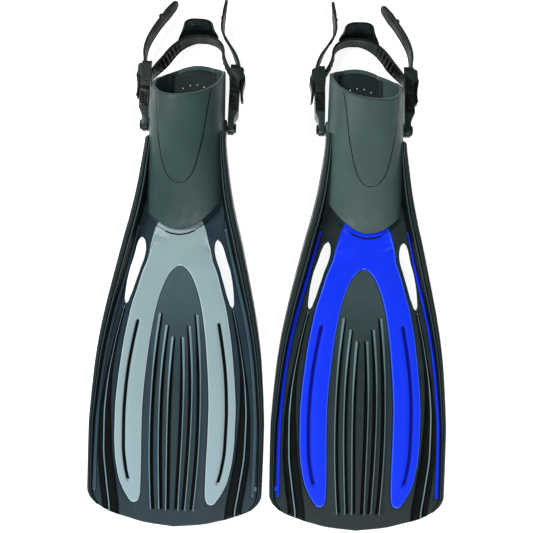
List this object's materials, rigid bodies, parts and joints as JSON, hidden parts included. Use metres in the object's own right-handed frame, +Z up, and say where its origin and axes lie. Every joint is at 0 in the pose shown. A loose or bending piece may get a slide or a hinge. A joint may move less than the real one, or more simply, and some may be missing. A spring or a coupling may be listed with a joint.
{
  "type": "swim fins",
  "caption": "Pair of open-heel paddle-blade swim fins with vented blades, coloured wishbone inlays, rubber foot pockets and buckled heel straps.",
  "frame": {"origin": "centre of the overall box of the pair, on the floor it lies on", "axes": "+X across the pair from the grey fin to the blue fin, +Y from the blade tips to the heels, +Z up"},
  "size_m": [0.4676, 0.698, 0.0993],
  "materials": {
    "blade_plastic_grey_fin": "satin moulded plastic",
    "blade_plastic_blue_fin": "satin moulded plastic",
    "inlay_grey_fin": "satin silver-grey, fine flow grain",
    "inlay_blue_fin": "satin bright blue",
    "edge_strip_grey_fin": "satin",
    "edge_strip_blue_fin": "satin bright blue",
    "rail_plastic_grey_fin": "satin rubber edge",
    "rail_plastic_blue_fin": "satin rubber edge",
    "pocket_rubber_grey_fin": "soft rubber with fine grain",
    "pocket_rubber_blue_fin": "soft rubber with fine grain",
    "panel_rubber_grey_fin": "soft rubber with fine grain",
    "panel_rubber_blue_fin": "soft rubber with fine grain",
    "footbed_foam": "matt",
    "channel_rubber": "soft black",
    "buckle_plastic": "glossy black acetal",
    "strap_rubber": "satin rubber",
    "pad_rubber": "matt rubber",
    "steel": "stainless"
  },
  "bodies": {
    "left_fin": {"left_blade": "blade_plastic_grey_fin", "left_blade_inlay": "inlay_grey_fin", "left_edge_strips": "edge_strip_grey_fin", "left_flex_channels": "channel_rubber", "left_rail_inner": "rail_plastic_grey_fin", "left_rail_outer": "rail_plastic_grey_fin", "left_foot_pocket": "pocket_rubber_grey_fin", "left_instep_panel": "panel_rubber_grey_fin", "left_footbed": "footbed_foam", "left_buckle_posts": "buckle_plastic", "left_post_caps": "buckle_plastic"},
    "left_strap_assembly": {"left_receiver_outer": "buckle_plastic", "left_receiver_inner": "buckle_plastic", "left_clip_outer": "buckle_plastic", "left_clip_inner": "buckle_plastic", "left_strap_bars": "steel", "left_lever_pins": "steel", "left_lever_springs": "steel", "left_heel_strap": "strap_rubber", "left_heel_pad": "pad_rubber"},
    "left_lever_outer": {"left_lever_outer": "buckle_plastic"},
    "left_button_outer_upper": {"left_button_outer_upper": "buckle_plastic"},
    "left_button_outer_lower": {"left_button_outer_lower": "buckle_plastic"},
    "left_lever_inner": {"left_lever_inner": "buckle_plastic"},
    "left_button_inner_upper": {"left_button_inner_upper": "buckle_plastic"},
    "left_button_inner_lower": {"left_button_inner_lower": "buckle_plastic"},
    "right_fin": {"right_blade": "blade_plastic_blue_fin", "right_blade_inlay": "inlay_blue_fin", "right_edge_strips": "edge_strip_blue_fin", "right_flex_channels": "channel_rubber", "right_rail_inner": "rail_plastic_blue_fin", "right_rail_outer": "rail_plastic_blue_fin", "right_foot_pocket": "pocket_rubber_blue_fin", "right_instep_panel": "panel_rubber_blue_fin", "right_footbed": "footbed_foam", "right_buckle_posts": "buckle_plastic", "right_post_caps": "buckle_plastic"},
    "right_strap_assembly": {"right_receiver_outer": "buckle_plastic", "right_receiver_inner": "buckle_plastic", "right_clip_outer": "buckle_plastic", "right_clip_inner": "buckle_plastic", "right_strap_bars": "steel", "right_lever_pins": "steel", "right_lever_springs": "steel", "right_heel_strap": "strap_rubber", "right_heel_pad": "pad_rubber"},
    "right_lever_outer": {"right_lever_outer": "buckle_plastic"},
    "right_button_outer_upper": {"right_button_outer_upper": "buckle_plastic"},
    "right_button_outer_lower": {"right_button_outer_lower": "buckle_plastic"},
    "right_lever_inner": {"right_lever_inner": "buckle_plastic"},
    "right_button_inner_upper": {"right_button_inner_upper": "buckle_plastic"},
    "right_button_inner_lower": {"right_button_inner_lower": "buckle_plastic"}
  },
  "joints": [
    {"name": "left_strap_swing", "type": "hinge", "parent": "left_fin", "child": "left_strap_assembly", "pos_m": [-0.09908, 0.17862, 0.04], "axis": [0.999, -0.0454, 0], "range_deg": [0, 110]},
    {"name": "left_lever_outer_lift", "type": "hinge", "parent": "left_strap_assembly", "child": "left_lever_outer", "pos_m": [-0.16143, 0.25156, 0.02331], "axis": [-0.0105, -0.2315, -0.9728], "range_deg": [0, 35], "stiffness_Nm_per_rad": 0.06, "springref_deg": -20.05},
    {"name": "left_button_outer_upper_press", "type": "slide", "parent": "left_strap_assembly", "child": "left_button_outer_upper", "axis": [-0.0105, -0.2315, -0.9728], "range_m": [0, 0.002], "stiffness_N_per_m": 1500, "springref_m": -0.0012},
    {"name": "left_button_outer_lower_press", "type": "slide", "parent": "left_strap_assembly", "child": "left_button_outer_lower", "axis": [0.0105, 0.2315, 0.9728], "range_m": [0, 0.002], "stiffness_N_per_m": 1500, "springref_m": -0.0012},
    {"name": "left_lever_inner_lift", "type": "hinge", "parent": "left_strap_assembly", "child": "left_lever_inner", "pos_m": [-0.03037, 0.24561, 0.02331], "axis": [0.0105, 0.2315, 0.9728], "range_deg": [0, 35], "stiffness_Nm_per_rad": 0.06, "springref_deg": -20.05},
    {"name": "left_button_inner_upper_press", "type": "slide", "parent": "left_strap_assembly", "child": "left_button_inner_upper", "axis": [-0.0105, -0.2315, -0.9728], "range_m": [0, 0.002], "stiffness_N_per_m": 1500, "springref_m": -0.0012},
    {"name": "left_button_inner_lower_press", "type": "slide", "parent": "left_strap_assembly", "child": "left_button_inner_lower", "axis": [0.0105, 0.2315, 0.9728], "range_m": [0, 0.002], "stiffness_N_per_m": 1500, "springref_m": -0.0012},
    {"name": "right_strap_swing", "type": "hinge", "parent": "right_fin", "child": "right_strap_assembly", "pos_m": [0.12607, 0.17345, 0.04], "axis": [0.9999, -0.0131, 0], "range_deg": [0, 110]},
    {"name": "right_lever_outer_lift", "type": "hinge", "parent": "right_strap_assembly", "child": "right_lever_outer", "pos_m": [0.19259, 0.24263, 0.02331], "axis": [0.003, 0.2317, 0.9728], "range_deg": [0, 35], "stiffness_Nm_per_rad": 0.06, "springref_deg": -20.05},
    {"name": "right_button_outer_upper_press", "type": "slide", "parent": "right_strap_assembly", "child": "right_button_outer_upper", "axis": [-0.003, -0.2317, -0.9728], "range_m": [0, 0.002], "stiffness_N_per_m": 1500, "springref_m": -0.0012},
    {"name": "right_button_outer_lower_press", "type": "slide", "parent": "right_strap_assembly", "child": "right_button_outer_lower", "axis": [0.003, 0.2317, 0.9728], "range_m": [0, 0.002], "stiffness_N_per_m": 1500, "springref_m": -0.0012},
    {"name": "right_lever_inner_lift", "type": "hinge", "parent": "right_strap_assembly", "child": "right_lever_inner", "pos_m": [0.0614, 0.24434, 0.02331], "axis": [-0.003, -0.2317, -0.9728], "range_deg": [0, 35], "stiffness_Nm_per_rad": 0.06, "springref_deg": -20.05},
    {"name": "right_button_inner_upper_press", "type": "slide", "parent": "right_strap_assembly", "child": "right_button_inner_upper", "axis": [-0.003, -0.2317, -0.9728], "range_m": [0, 0.002], "stiffness_N_per_m": 1500, "springref_m": -0.0012},
    {"name": "right_button_inner_lower_press", "type": "slide", "parent": "right_strap_assembly", "child": "right_button_inner_lower", "axis": [0.003, 0.2317, 0.9728], "range_m": [0, 0.002], "stiffness_N_per_m": 1500, "springref_m": -0.0012},
    {"name": "pair_spacing", "type": "slide", "parent": "left_fin", "child": "right_fin", "axis": [1, 0, 0], "range_m": [0, 0.15]}
  ]
}
